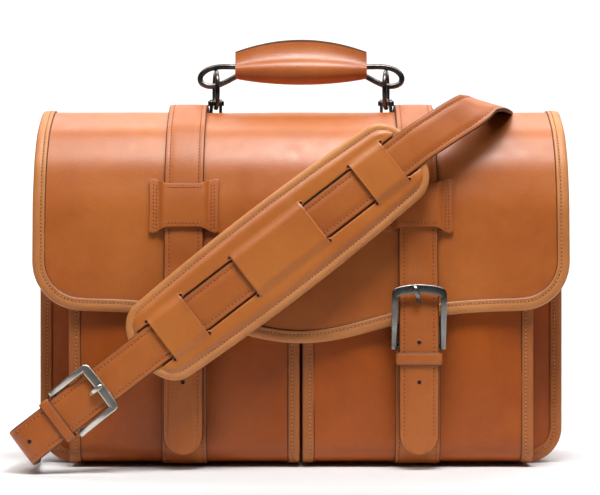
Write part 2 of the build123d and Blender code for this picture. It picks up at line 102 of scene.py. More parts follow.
class Profile:
    """A side profile in Y and Z, walked by arc length, with its outward normal."""

    def __init__(self, corners, radii, step=2.0):
        self.points = filleted(corners, radii, step)
        self.lengths = [0.0]
        for a, b in zip(self.points, self.points[1:]):
            self.lengths.append(self.lengths[-1] + (b - a).length)
        self.total = self.lengths[-1]

    def at(self, s):
        """Point and outward normal at arc length s."""
        s = max(0.0, min(self.total - 1e-6, s))
        k = 0
        while self.lengths[k + 1] < s:
            k += 1
        span = self.lengths[k + 1] - self.lengths[k]
        f = (s - self.lengths[k]) / span
        point = self.points[k].lerp(self.points[k + 1], f)
        ahead = self._tangent(k + 1 if f > 0.5 else k)
        behind = self._tangent(k if f > 0.5 else k - 1)
        mix = f - 0.5 if f > 0.5 else f + 0.5
        tangent = behind.lerp(ahead, mix).normalized()
        return point, Vector((tangent.y, -tangent.x))

    def _tangent(self, k):
        k = max(0, min(len(self.points) - 2, k))
        return (self.points[k + 1] - self.points[k]).normalized()

    def where_z(self, z):
        """Arc length where the falling part of the profile reaches height z."""
        low, high = self.total * 0.25, self.total
        for _ in range(40):
            mid = (low + high) / 2
            if self.at(mid)[0].y > z:
                low = mid
            else:
                high = mid
        return low

    def place(self, x, s, lift=0.0):
        """3-D point over the profile at width x, lifted outwards, and the 3-D normal."""
        point, normal = self.at(s)
        out = Vector((0, normal.x, normal.y))
        return Vector((x, point.x, point.y)) + out * lift, out


def smooth(t):
    """Smooth step from 0 to 1."""
    t = max(0.0, min(1.0, t))
    return t * t * (3 - 2 * t)


def steps(count, first=0):
    """Fractions from 0 to 1 in count equal steps, from the step numbered first."""
    return [k / count for k in range(first, count + 1)]


def spread(count):
    """Numbers from -1 to 1 in count equal steps."""
    return [2 * t - 1 for t in steps(count)]


def crowded(count, squeeze=1.0):
    """Numbers from -1 to 1 in count steps that crowd towards both ends."""
    return [sin(pi / 2 * u * squeeze) / sin(pi / 2 * squeeze) for u in spread(count)]


def circle(radius, sides):
    """Points round a circle, as flat pairs."""
    return [(radius * cos(2 * pi * k / sides), radius * sin(2 * pi * k / sides)) for k in range(sides)]


def mirrored(points):
    """Half of an outline that ends on the middle line, followed by its mirror image."""
    return points + [(-a, b) for a, b in reversed(points[:-1])]


def with_steps(points, closed=False):
    """Each point of a route with the step across it, from the point before to the point after."""
    points = [Vector(point) for point in points]
    last = len(points) - 1
    pairs = []
    for k, point in enumerate(points):
        if closed:
            step = points[(k + 1) % (last + 1)] - points[k - 1]
        else:
            step = points[min(k + 1, last)] - points[max(k - 1, 0)]
        pairs.append((point, step))
    return pairs


def corner_cut(radius, z):
    """How far a round corner is drawn in at height z above its bottom."""
    return radius - sqrt(max(0.0, radius ** 2 - max(0.0, radius - z) ** 2))


def spline_frames(controls, count):
    """Frames along a Catmull-Rom route through (point, across) controls."""
    values = [(Vector(place), Vector(across)) for place, across in controls]
    last = len(values) - 1

    def catmull(part, k, t):
        before, start, end, after = (values[max(0, min(last, n))][part] for n in range(k - 1, k + 3))
        return 0.5 * (
            2 * start + (end - before) * t + (2 * before - 5 * start + 4 * end - after) * t * t
            + (3 * start - before - 3 * end + after) * t ** 3
        )

    route = [(catmull(0, k, j / count), catmull(1, k, j / count)) for k in range(last)
             for j in range(count)]
    route.append(values[-1])
    frames = []
    for (place, across), (_, tangent) in zip(route, with_steps([place for place, _ in route])):
        out = tangent.cross(across).normalized()
        frames.append((place, out.cross(tangent).normalized(), out))
    return frames


# ---- mesh builders ----------------------------------------------------------------------
def mesh_object(name, verts, faces, materials, indices=None):
    """A smooth-shaded mesh object from millimetre vertices."""
    mesh = bpy.data.meshes.new(name)
    mesh.from_pydata([Vector(v) * MM for v in verts], [], faces)
    for material in materials:
        mesh.materials.append(material)
    if indices:
        mesh.polygons.foreach_set("material_index", indices)
    mesh.polygons.foreach_set("use_smooth", [True] * len(faces))
    mesh.update()
    obj = bpy.data.objects.new(name, mesh)
    bpy.context.collection.objects.link(obj)
    return obj


def bake(obj):
    """Apply every modifier, so that the piece's own mesh is final."""
    graph = bpy.context.evaluated_depsgraph_get()
    mesh = bpy.data.meshes.new_from_object(obj.evaluated_get(graph))
    old = obj.data
    obj.modifiers.clear()
    obj.data = mesh
    bpy.data.meshes.remove(old)
    return obj


def grid_sheet(name, rows, materials):
    """An open sheet from rows of points. Faces look along (next column) x (next row)."""
    width = len(rows[0])
    verts = [point for row in rows for point in row]
    corners = [r * width + c for r in range(len(rows) - 1) for c in range(width - 1)]
    return mesh_object(name, verts, [(a, a + 1, a + width + 1, a + width) for a in corners], materials)


def loft(name, rings, materials, closed=False, caps=True, ring_material=None):
    """Skin through equal closed rings of points; ring_material gives each side's material."""
    size = len(rings[0])
    verts = [point for ring in rings for point in ring]
    faces = []
    indices = []
    count = len(rings)
    for r in range(count if closed else count - 1):
        a = r * size
        b = ((r + 1) % count) * size
        for k in range(size):
            n = (k + 1) % size
            faces.append((a + k, b + k, b + n, a + n))
            indices.append(ring_material[k] if ring_material else 0)
    if caps and not closed:
        faces.append(tuple(range(size)))
        faces.append(tuple(reversed([(count - 1) * size + k for k in range(size)])))
        indices += [ring_material[0] if ring_material else 0] * 2
    return mesh_object(name, verts, faces, materials, indices)


def sweep(name, frames, section, materials, closed=False, ring_material=None, widths=None,
          caps=True):
    """Sweep a closed (across, out) section along frames; widths scales across at each frame."""
    rings = []
    for k, (place, across, out) in enumerate(frames):
        scale = widths[k] if widths else 1.0
        rings.append([place + across * (a * scale) + out * b for a, b in section])
    return loft(name, rings, materials, closed, caps, ring_material)


def strap_section(half, thick, groove=None, base=0.0, crown=0.25):
    """Flat strap: eased edges, a slight crown and two stitching grooves. Also its side flags."""
    top = base + thick
    right = [
        (half, base + 0.35), (half, top - 0.8), (half - 0.25, top - 0.3), (half - 0.8, top - 0.02),
    ]
    if groove:
        right += [
            (half - groove + 0.9, top + 0.05), (half - groove, top - 0.35),
            (half - groove - 0.9, top + 0.08),
        ]
    right += [(half * 0.4, top + crown * 0.8)]
    left = [(-a, b) for a, b in reversed(right)]
    section = [(half - 0.4, base)] + right + [(0, top + crown)] + left + [(-half + 0.4, base)]
    flags = []
    for k in range(len(section)):
        a = section[k]
        b = section[(k + 1) % len(section)]
        side = abs(a[0]) > half - 0.9 and abs(b[0]) > half - 0.9 and a[0] * b[0] > 0
        under = a[1] <= base and b[1] <= base
        flags.append(1 if side or under else 0)
    return section, flags


def resample(points, pitch):
    """Evenly spaced (point, direction) pairs along a polyline of (point, out) pairs."""
    result = []
    travelled = 0.0
    due = pitch / 2
    for (a, out_a), (b, out_b) in zip(points, points[1:]):
        length = (b - a).length
        if length < 1e-6:
            continue
        while travelled + length >= due:
            f = (due - travelled) / length
            result.append((a.lerp(b, f), (b - a) / length, out_a.lerp(out_b, f).normalized()))
            due += pitch
        travelled += length
    return result


def ease_edges(obj, width, degrees):
    """Round every edge sharper than this angle."""
    edge = obj.modifiers.new("edge", "BEVEL")
    edge.width = width * MM
    edge.segments = 2
    edge.limit_method = "ANGLE"
    edge.angle_limit = radians(degrees)


def thick_sheet(name, rows, looks, thickness, flip=True, levels=0, bevel=0):
    """A leather sheet of real thickness. looks names its good side, its back and its cut edge."""
    names = list(dict.fromkeys(looks))
    obj = grid_sheet(name, rows, [MAT[look] for look in names])
    if flip:
        obj.data.flip_normals()
    solid = obj.modifiers.new("thickness", "SOLIDIFY")
    solid.thickness = thickness * MM
    solid.offset = -1
    solid.use_even_offset = True
    solid.material_offset = names.index(looks[1])
    solid.material_offset_rim = names.index(looks[2])
    if bevel:
        ease_edges(obj, bevel, 50)
    if levels:
        sub = obj.modifiers.new("smooth", "SUBSURF")
        sub.levels = sub.render_levels = levels
    return bake(obj)


def strap_body(name, frames, half, thick, groove=None, base=0.0, crown=0.25, **how):
    """A leather strap with burnished edges along frames; how goes on to the sweep."""
    section, flags = strap_section(half, thick, groove, base, crown)
    return sweep(name, frames, section, [MAT["strap"], MAT["burnished"]], ring_material=flags, **how)


def edge_tape(name, frames, section, look, closed=False):
    """A folded binding whose inner edge is burnished."""
    flags = [1, 1, 1] + [0] * (len(section) - 4) + [1]
    return sweep(name, frames, section, [MAT[look], MAT["burnished"]], closed, flags)


def band_faces(start, sides):
    """Faces between two neighbouring closed rings of vertices, the first ring at start."""
    pairs = [(start + k, start + (k + 1) % sides) for k in range(sides)]
    return [(a, b, b + sides, a + sides) for a, b in pairs]


def stitches(name, lines, pitch=3.0, length=2.1, radius=0.36, lift=0.12, thread="thread"):
    """Rows of thread stitches, each a small bead sunk in the leather, with a needle hole after drawn as a
    dark dot of painted shade.
    """
    rows = ((-0.5, 0.25), (-0.36, 0.85), (0.0, 1.0), (0.36, 0.85), (0.5, 0.25))
    ring = circle(1, 6)
    sides = len(ring)
    hole_radius = 0.42
    slant = 0.12
    verts = []
    faces = []
    indices = []
    for place, along, out in [spot for line in lines for spot in resample(line, pitch)]:
        across = out.cross(along)
        direction = (along + across * slant).normalized()
        sideways = out.cross(direction)
        start = len(verts)
        for t, r in rows:
            middle = place + direction * (t * length) + out * (lift - 0.22 * (2 * t) ** 4)
            verts += [middle + sideways * (c * r * radius * 1.15) + out * (s * r * radius)
                      for c, s in ring]
        for r in range(len(rows) - 1):
            faces += band_faces(start + r * sides, sides)
        # the needle hole: a flat dark disc of painted shade
        hole = place + along * (pitch / 2) + out * 0.05
        start = len(verts)
        verts += [hole + along * (c * hole_radius) + across * (s * hole_radius) for c, s in ring]
        faces.append(tuple(range(start, start + sides)))
        indices += [0] * (sides * (len(rows) - 1)) + [1]
    return mesh_object(name, verts, faces, [MAT[thread], MAT["hole"]], indices)


def punched_hole(name, place, across, out, radius=1.7):
    """A punched hole in a flat strap: a soft pressed rim round a dark mouth of painted shade, with no
    opening cut.
    """
    up = out.cross(across)
    sides = 20
    rings = ((radius + 1.0, -0.3), (radius + 0.4, 0.22), (radius, 0.2), (radius * 0.9, 0.04),
             (0.2, 0.02))
    verts = [place + (across * c + up * s) * r + out * h for r, h in rings for c, s in circle(1, sides)]
    faces = [face for r in range(4) for face in band_faces(r * sides, sides)]
    faces.append(tuple(range(4 * sides, 5 * sides)))
    indices = [0] * (2 * sides) + [1] * (2 * sides + 1)
    return mesh_object(name, verts, faces, [MAT["strap"], MAT["hole"]], indices)


# ---- materials --------------------------------------------------------------------------
def linear(colour):
    """Linear colour of an 8-bit sRGB colour."""
    def channel(value):
        value /= 255
        return value / 12.92 if value <= 0.04045 else ((value + 0.055) / 1.055) ** 2.4
    return tuple(channel(value) for value in colour) + (1.0,)


class Look:
    """A node material in the making. Input names take an underscore for each space."""

    def __init__(self, name):
        self.material = bpy.data.materials.new(name)
        self.material.use_nodes = True
        self.tree = self.material.node_tree
        self.where = self.tree.nodes.new("ShaderNodeTexCoord").outputs["Object"]

    def feed(self, socket, value):
        """Set an input to a value, or link it to another node's output."""
        if isinstance(value, bpy.types.NodeSocket):
            self.tree.links.new(value, socket)
        else:
            socket.default_value = value

    def node(self, kind, **inputs):
        """A new node with its inputs fed."""
        made = self.tree.nodes.new("ShaderNode" + kind)
        for name, value in inputs.items():
            self.feed(made.inputs[name.replace("_", " ")], value)
        return made

    def noise(self, scale, detail=2.0, roughness=0.5):
        """Noise over the object, as its node's outputs."""
        made = self.node("TexNoise", Scale=scale, Detail=detail, Roughness=roughness, Vector=self.where)
        return made.outputs

    def ramp(self, amount, low_colour, high_colour, low=0.0, high=1.0):
        """A colour that goes from one to the other between two amounts."""
        made = self.node("ValToRGB", Fac=amount)
        first, second = made.color_ramp.elements
        first.position, first.color = low, low_colour
        second.position, second.color = high, high_colour
        return made.outputs["Color"]

    def bump(self, height, strength, distance):
        """The shader normal that a height gives."""
        return self.node("Bump", Strength=strength, Distance=distance, Height=height).outputs["Normal"]

    def polish(self, amount, low, high):
        """A roughness that drifts between two values."""
        return self.node("MapRange", Value=amount, To_Min=low, To_Max=high).outputs["Result"]

    def shade(self, **inputs):
        """The finished material, with the shader's inputs fed."""
        shader = self.tree.nodes["Principled BSDF"]
        for name, value in inputs.items():
            self.feed(shader.inputs[name.replace("_", " ")], value)
        return self.material


def leather(name, light, dark, rough=0.42, grain=0.5, mottle=0.5, shine=0.62):
    """Tan leather: slow colour drift, fine pores, grain bump and uneven polish."""
    look = Look(name)
    tones = look.ramp(look.noise(13, 7, 0.62)["Fac"], linear(dark), linear(light),
                      0.44 - 0.28 * mottle, 0.66 - 0.1 * mottle)
    speckle = look.node("MixRGB", Fac=0.16, Color1=tones, Color2=look.noise(420, 4)["Color"])
    speckle.blend_type = "MULTIPLY"
    pores = look.node("TexVoronoi", Scale=620, Vector=look.where).outputs["Distance"]
    creases = look.noise(95, 8)["Fac"]
    height = look.node("Math")
    height.operation = "MULTIPLY_ADD"
    for socket, value in zip(height.inputs, (pores, 0.45, creases)):
        look.feed(socket, value)
    return look.shade(
        Base_Color=speckle.outputs["Color"], Normal=look.bump(height.outputs["Value"], grain, 0.0006),
        Roughness=look.polish(creases, rough - 0.09, rough + 0.12), Specular_IOR_Level=shine,
    )


def metal(name, bright, dull, rough):
    """Plated steel: faint brushing, worn brighter patches and uneven polish."""
    look = Look(name)
    wear = look.noise(55, 3)["Fac"]
    return look.shade(
        Metallic=1.0, Base_Color=look.ramp(wear, linear(dull), linear(bright), 0.35, 0.65),
        Roughness=look.polish(wear, rough - 0.08, rough + 0.1),
        Normal=look.bump(look.noise(900)["Fac"], 0.04, 0.0002),
    )


def plain(name, light, dark, rough, scale):
    """A matt material with a little colour variation, for thread, the painted shade of holes and the rope
    core.
    """
    look = Look(name)
    tones = look.ramp(look.noise(scale)["Fac"], linear(dark), linear(light))
    return look.shade(Base_Color=tones, Roughness=rough)


MAT = {
    "flap": leather("flap_leather", (194, 107, 40), (176, 88, 27), 0.4, grain=0.16),
    "panel": leather("panel_leather", (176, 84, 14), (148, 64, 8), 0.4, 0.2, 0.6, shine=0.42),
    "strap": leather("strap_leather", (188, 103, 40), (170, 86, 28), 0.44, grain=0.2, shine=0.5),
    "edge": leather("edge_leather", (208, 134, 70), (188, 112, 52), 0.5, grain=0.25),
    "shaded_binding": leather("shaded_binding_leather", (180, 104, 48), (156, 84, 34), 0.5, grain=0.25, shine=0.45),
    # Darker copy of the binding leather for the panel and pocket bindings: painted shade
    "pad": leather("pad_leather", (198, 114, 46), (182, 98, 34), 0.38, grain=0.18),
    "grip": leather("grip_leather", (192, 106, 42), (166, 80, 24), 0.36, grain=0.18),
    "burnished": leather("burnished_edge", (98, 50, 22), (66, 32, 13), 0.55, grain=0.3),
    "flesh": leather("flesh_side", (150, 104, 70), (122, 80, 50), 0.85, grain=0.9),
    "gunmetal": metal("gunmetal", (112, 108, 106), (70, 66, 64), 0.26),
    "steel": metal("buckle_steel", (146, 145, 142), (112, 111, 109), 0.26),
    "nickel": metal("nickel", (214, 209, 200), (198, 193, 184), 0.3),
    "thread": plain("thread", (214, 150, 100), (190, 124, 76), 0.7, 900),
    "red_thread": plain("red_thread", (196, 118, 70), (170, 92, 48), 0.7, 900),
    # near-black for needle holes, punched holes and pad slits: painted shade inside them
    "hole": plain("hole", (44, 20, 8), (22, 10, 4), 0.9, 300),
    "rope": plain("rope", (190, 170, 136), (150, 128, 96), 0.9, 500),
}


def settle(obj, body, replaces=()):
    """Put a piece on its body and hide the CAD nodes it stands for."""
    if replaces:
        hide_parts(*replaces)
    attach(obj, body)
    return obj


def settle_blend(obj, slot, first, second, start, end, replaces=()):
    """Hide the CAD nodes a piece stands for and bake its placement into its mesh."""
    if replaces:
        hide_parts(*replaces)
    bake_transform(obj)
    return obj


# ---- flap -------------------------------------------------------------------------------
FLAP_CORNERS = [(79, 288.9), (-13.5, 296), (-47, 275.5), (-64, 250), (-72.4, 216), (-78, 95)]
FLAP_RADII = [45, 45, 60, 100]
flap_profile = Profile(FLAP_CORNERS, FLAP_RADII)
OVER_HINGE = ("root", "flap", (0, 79.5, 280), (0, 64, 280))


def flap_edge_z(x, inset):
    """Height of the flap's lower edge at width x, drawn in by inset."""
    edge = FLAP_EDGE + inset
    radius = FLAP_CORNER - inset
    knee = HALF_WIDTH - FLAP_CORNER
    reach = abs(x)
    if reach > knee:
        over = min(1.0, (reach - knee) / radius)
        return edge + radius - radius * sqrt(max(0.0, 1 - over * over))
    return edge - FLAP_LOBE * exp(-((x / 84) ** 2))


def flap_swell(x, s):
    """How far the flap's skin stands off its plain profile: soft swells between the straps."""
    fade = smooth(s / 60) * smooth((230 - s) / 60 + 0.6)
    wave = 0.9 * cos(pi * x / 95) * exp(-((s - 175) / 60) ** 2)
    ripple = 0.35 * sin(x / 23 + 1.3) * sin(s / 31 + x / 70)
    return fade * (ripple - 0.4) + wave * 0.5


def on_flap(x, z, lift=0.0):
    """Point and normal over the flap at width x and height z."""
    return flap_profile.place(x, flap_profile.where_z(z), lift)


def flap_outline_frames(inset, lift):
    """Frames along the flap's sides and lower edge, inset from it, outwards across."""
    spacing = 3.0
    knee = HALF_WIDTH - FLAP_CORNER
    radius = FLAP_CORNER - inset
    edge = FLAP_EDGE + inset
    side_end = flap_profile.where_z(edge + radius)
    flat = [(HALF_WIDTH - inset, side_end * t) for t in steps(int(side_end / spacing))[:-1]]
    for t in steps(14):
        z = edge + radius - radius * sin(pi / 2 * t)
        flat.append((knee + radius * cos(pi / 2 * t), flap_profile.where_z(z)))
    for t in steps(int(knee / spacing), 1):
        x = knee * (1 - t)
        flat.append((x, flap_profile.where_z(flap_edge_z(x, inset))))
    flat = mirrored(flat)
    frames = []
    for (x, s), (_, step) in zip(flat, with_steps([flap_profile.place(x, s)[0] for x, s in flat])):
        place, out = flap_profile.place(x, s, lift)
        frames.append((place, out.cross(step.normalized()), out))
    return frames


def build_flap():
    """The flap's leather, which runs over the rear edge and down the back panel."""
    knee = HALF_WIDTH - FLAP_CORNER
    reach = HALF_WIDTH - 5
    outer = [knee + (reach - knee) * sin(pi / 2 * t) for t in steps(12, 1)]
    columns = [-x for x in reversed(outer)] + [knee * u for u in crowded(60, 0.98)] + outer
    ends = [flap_profile.where_z(flap_edge_z(x, 5)) for x in columns]
    rows = [[Vector((x, BACK_Y + 0.4, z)) for x in columns] for z in (262, 268, 274, 280, 285)]
    for t in steps(73):
        row = []
        for x, end in zip(columns, ends):
            s = end * t
            row.append(flap_profile.place(x, s, flap_swell(x, s) * smooth((end - s) / 25))[0])
        rows.append(row)
    sheet = thick_sheet("flap_leather_sheet", rows, ("flap", "flesh", "burnished"), FLAP_THICK - 0.4)
    settle_blend(sheet, "flap_leather", *OVER_HINGE, ["flap_panel"])

    section = [
        (-5.7, -0.3), (-5.6, 0.1), (-5.1, 0.14), (-5.0, 0.85), (-4.2, 1.15), (-2.4, 1.0), (-1.9, 0.7),
        (-1.4, 1.0), (1.0, 1.2), (3.4, 0.9), (4.7, 0.1), (5.2, -1.6), (4.9, -3.6), (4.0, -4.6),
        (0, -5.0), (-4.6, -4.9), (-5.0, -4.2),
    ]
    tape = edge_tape("flap_edge_tape", flap_outline_frames(5, 0.0), section, "edge")
    tape.data.flip_normals()
    settle_blend(tape, "edge_leather", *OVER_HINGE, ["flap_binding"])
    line = [(place, out) for place, _, out in flap_outline_frames(6.9, 1.0)]
    row = stitches("flap_edge_stitches", [line[3:-3]], 3.1)
    settle_blend(row, "edge_leather", *OVER_HINGE)


# ---- closure straps ---------------------------------------------------------------------
STRAP_CORNERS = [(70, 289.6)] + FLAP_CORNERS[1:5] + [(-75, 165), (TAIL_Y, 122), (TAIL_Y, TAIL_TIP)]
STRAP_RADII = FLAP_RADII + [60, 60]
strap_profile = Profile(STRAP_CORNERS, STRAP_RADII)


def strap_lift(s):
    """How far a closure strap stands off the flap: it rises over the handle's bracket."""
    return 0.3 + 3.2 * exp(-((s - 66) / 34) ** 2)


def build_closure_strap(side, sign):
    """A closure strap from the rear of the flap to its round tail tip."""
    middle = sign * STRAP_X
    total = strap_profile.total
    plain_end = total * 0.935
    stations = [plain_end * t for t in steps(150)]
    stations += [plain_end + (total - plain_end) * sin(pi / 2 * t) for t in steps(14, 1)]
    frames = []
    widths = []
    for s in stations:
        place, out = strap_profile.place(middle, s, strap_lift(s))
        frames.append((place, X, out))
        into = max(0.0, s - (total - STRAP_HALF)) / STRAP_HALF
        widths.append(max(0.04, sqrt(max(0.0, 1 - into * into))))
    ribbon = strap_body(f"closure_strap_body_{side}", frames, STRAP_HALF, STRAP_THICK, STITCH_IN,
                        widths=widths)
    ribbon.data.flip_normals()
    settle_blend(ribbon, "strap_leather", *OVER_HINGE, [f"closure_strap_{side}"])

    sewn = [12 + (total - STRAP_HALF - 12) * t for t in steps(129)]
    lines = [
        [strap_profile.place(x, s, strap_lift(s) + STRAP_THICK - 0.1) for s in sewn]
        for x in (middle - STRAP_HALF + STITCH_IN, middle + STRAP_HALF - STITCH_IN)
    ]
    row = stitches(f"closure_strap_stitches_{side}", lines, 3.3, 2.2, 0.3, 0.02, "red_thread")
    settle_blend(row, "strap_leather", *OVER_HINGE)

    for name, up in (("upper", 3), ("lower", -29)):
        place = Vector((middle, TAIL_Y - STRAP_THICK - 0.6, HEEL.z + up))
        settle(punched_hole(f"strap_hole_{name}_{side}", place, X, -Y), "flap")


def build_keeper(side, sign):
    """The flared leather keeper sewn on the flap over the strap."""
    middle = sign * STRAP_X
    half, low, high = 28.5, 191, 235
    rows = []
    for v in steps(24):
        row = []
        for u in crowded(48):
            flare = abs(u)
            dip = 5.0 * (1 - smooth((flare - 0.42) / 0.5)) + 1.2 * smooth((flare - 0.9) / 0.1)
            z = high - dip + (low - high + 2 * dip) * v
            pinch = 1 - 0.035 * (1 - (2 * v - 1) ** 2) * flare
            over = 1 - smooth((half * flare - STRAP_HALF - 0.6) / 4.6)
            row.append(on_flap(middle + half * u * pinch, z, 2.3 + 3.6 * over)[0])
        rows.append(row)
    body = thick_sheet(f"keeper_body_{side}", rows, ("strap", "burnished", "burnished"), 2.1, bevel=0.5)
    settle(body, "flap", [f"flap_keeper_{side}"])

    lines = []
    for edge in (-1, 1):
        for a, reach in ((24.6, 0.86), (22.2, 0.84)):
            span = (high - low) / 2 * reach
            lines.append([on_flap(middle + edge * a, (low + high) / 2 - span * u, 2.35)
                          for u in spread(19)])
    for z in (high - 8.2, low + 8.2):
        lines.append([on_flap(middle + 15 * u, z, 5.95) for u in spread(19)])
    row = stitches(f"keeper_stitches_{side}", lines, 2.9, 1.9, 0.32, 0.05, "red_thread")
    settle(row, "flap")


# ---- buckle furniture: local frame is (origin on the heel bar, across, up the strap, out) ----
class BuckleFrame:
    """Local axes of a buckle: x along the heel bar, y towards the end bar, z outwards."""

    def __init__(self, origin, x, y):
        self.origin = Vector(origin)
        self.x = Vector(x).normalized()
        self.y = Vector(y).normalized()
        self.z = self.x.cross(self.y)

    def at(self, a, b, c):
        return self.origin + self.x * a + self.y * b + self.z * c


SLING_MID = Vector((-30.1, -99, 167.45))
SLING_LEAN = 0.1
slope = radians(37.6)
sling_x = Vector((cos(slope), SLING_LEAN * sin(slope), sin(slope))).normalized()
sling_z = Vector((0, -1, SLING_LEAN)).normalized()
sling_y = sling_z.cross(sling_x)
SLING_HEEL = -195.3
STRAP_BACK = 4.5
buckles = {
    "l": BuckleFrame((-STRAP_X, HEEL.y, HEEL.z), X, Z),
    "r": BuckleFrame((STRAP_X, HEEL.y, HEEL.z), X, Z),
    "sling": BuckleFrame(SLING_MID + sling_x * SLING_HEEL - sling_z * STRAP_BACK, -sling_y, sling_x),
}


def build_loop(name, base, near, far, back, node):
    """Leather loop round the strap, with a stitched line near each edge."""
    front = STRAP_BACK + STRAP_THICK + 1.15
    side = 17.5
    ring = filleted([(0, front), (side, front), (side, back), (-side, back), (-side, front), (0, front)],
                    [1.6] * 4, 0.6)[:-1]
    middle = -(near + far) / 2
    half = (far - near) / 2
    frames = []
    for point, step in with_steps(ring, closed=True):
        out = (base.x * step.x + base.z * step.y).cross(base.y).normalized()
        frames.append((base.at(point.x, middle, point.y), base.y, out))
    loop = strap_body(name, frames, half, 1.9, None, -0.9, 0.15, closed=True)
    lines = [
        [(base.at(15 * u, middle + shift * half, front + 1.02), base.z) for u in spread(9)]
        for shift in (-0.52, 0.52)
    ]
    row = stitches(f"{name}_stitches", lines, 2.7, 1.8, 0.26, 0.03, "red_thread")
    settle(loop, "flap", [node])
    settle(row, "flap")


def build_chape(name, base, low, rear, front, node):
    """Leather strip folded round the heel bar."""
    radius = 2.75
    path = [(low * (1 - t) - 3 * t, rear + 0.75) for t in steps(6)[:-1]]
    path += [(radius * sin(pi * t), -radius * cos(pi * t)) for t in steps(12)]
    path += [(-4, front - 0.75), (low * 0.75, front - 0.75)]
    frames = []
    for (up, out), step in with_steps(path):
        tangent = base.y * step.x + base.z * step.y
        frames.append((base.at(0, up, out), base.x, base.x.cross(tangent).normalized()))
    strip = strap_body(name, frames, 13.9, 1.4, None, -0.7, 0.05)
    settle(strip, "flap", [node])


def hardware(name, stations, finish, closed_ends=True):
    """Rounded bar through (point, sideways, out, half width, half thickness) stations."""
    round_square = [(copysign(abs(c) ** 0.42, c), copysign(abs(s) ** 0.42, s)) for c, s in circle(1, 20)]
    rings = [
        [place + sideways * (a * half) + out * (b * thick) for a, b in round_square]
        for place, sideways, out, half, thick in stations
    ]
    return loft(name, rings, [MAT[finish]], caps=closed_ends)


def build_buckle(name, base, reach, arch, corner, lean, bodies, nodes, finish):
    """Cast buckle frame with rounded corners, its heel bar and its tapered prong."""
    side = 19.7
    heel = -2.9
    top = reach - 3.75 - arch
    crest = STRAP_BACK + STRAP_THICK + 2.7

    def fit(kind, stations, number, replaced=(), closed_ends=True):
        piece = hardware(f"{name}_{kind}", stations, finish, closed_ends)
        settle(piece, bodies[number], replaced)

    flat = [(-side, heel + (top - corner - heel) * t) for t in steps(24)]
    for t in steps(8, 1):
        inwards = corner * (1 - cos(pi / 2 * t))
        rise = arch * (1 - ((side - inwards) / side) ** 2)
        flat.append((inwards - side, top - corner * (1 - sin(pi / 2 * t)) + rise))
    for t in steps(12, 1):
        a = (corner - side) * (1 - t)
        flat.append((a, top + arch * (1 - (a / side) ** 2)))
    stations = []
    for (a, b), step in with_steps(mirrored(flat)):
        along = step.normalized()
        height = crest * smooth((b + 6) / (reach - 6)) - 0.1
        wide = 2.4 + 1.2 * smooth((b - top + corner) / corner)
        deep = 2.1 - 0.55 * smooth((b - 6) / (reach - 20))
        sideways = base.x * along.y - base.y * along.x
        stations.append((base.at(a, b, height), sideways, base.z, wide, deep))
    fit("cast_frame", stations, 0, [nodes[0]])
    fit("heel_bar", [(base.at(a, 0, 0), base.y, base.z, 1.65, 1.65) for a in (-side, 0, side)], 0)

    prong = [(2.6, 0.4, 1.5), (reach * 0.3, 1.4, 1.5), (reach - 18, 2.8, 1.5), (reach - 14, 5.4, 1.6),
             (reach - 10.5, 11.2, 1.8), (reach - 8, 13.0, 1.9), (reach - 5, 13.7, 1.7),
             (reach - 2.2, 13.2, 1.4), (reach - 1.4, 12.6, 0.6)]
    stations = []
    for (b, c, radius), step in with_steps(prong):
        along = (base.y * step.x + base.z * step.y).normalized()
        aside = -lean * smooth((b - reach + 16) / 15)
        stations.append((base.at(aside, b, c), base.x, base.x.cross(along), radius, radius * 0.85))
    fit("prong_pin", stations, 1, [nodes[1]])
    turn = circle(1, 16)
    outs = [base.y * c + base.z * s for c, s in turn + turn[:1]]
    fit("prong_knuckle", [(base.origin + out * 2.45, base.x, out, 1.6, 0.6) for out in outs], 1, (), False)


# ---- pockets and main body --------------------------------------------------------------
def pocket_profile(face, top):
    """Side profile of a pocket: down its front and under it."""
    low = 4 + POCKET_Y - face
    return Profile([(face, top), (face, low), (FRONT_Y - 2, low)], [POCKET_ROLL], 1.5)


